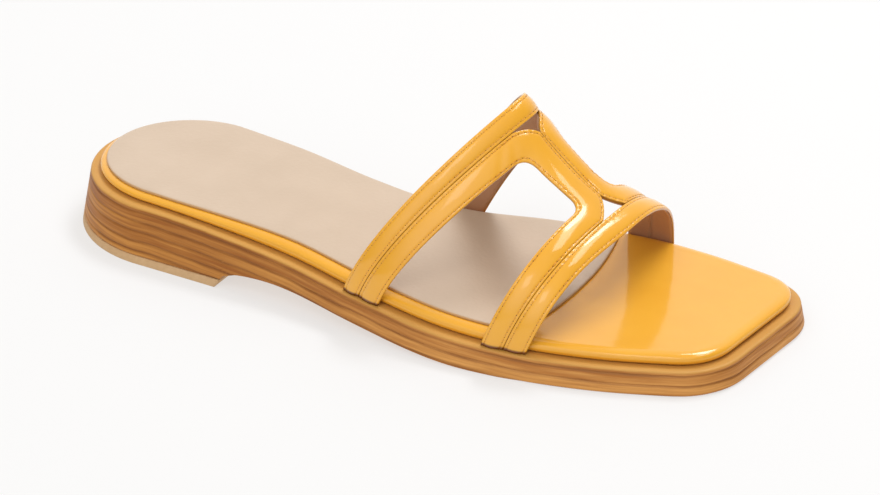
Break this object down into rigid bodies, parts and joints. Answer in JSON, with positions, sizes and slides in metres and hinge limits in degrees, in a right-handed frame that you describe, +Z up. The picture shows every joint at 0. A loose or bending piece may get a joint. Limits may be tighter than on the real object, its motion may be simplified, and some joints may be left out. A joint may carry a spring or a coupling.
{
  "type": "flat slide sandal",
  "caption": "Right-foot flat slide sandal with padded cross straps joined by a bridge over the instep, a square toe, a wrapped footbed and a stacked sole with a low heel.",
  "frame": {"origin": "on the floor under the middle of the sandal's box", "axes": "+X from heel to toe, +Y to the inner (medial) side of the right foot, +Z up"},
  "size_m": [0.2656, 0.0998, 0.0742],
  "materials": {
    "stacked_sole": "satin edge paint in tan and brown layers",
    "heel_rubber": "matt moulded rubber",
    "patent_leather": "high gloss lacquer",
    "sock_leather": "smooth satin"
  },
  "bodies": {
    "root": {"outsole": "stacked_sole", "top_lift": "heel_rubber", "footbed": "patent_leather", "sock_lining": "sock_leather", "upper": "patent_leather"}
  },
  "joints": []
}
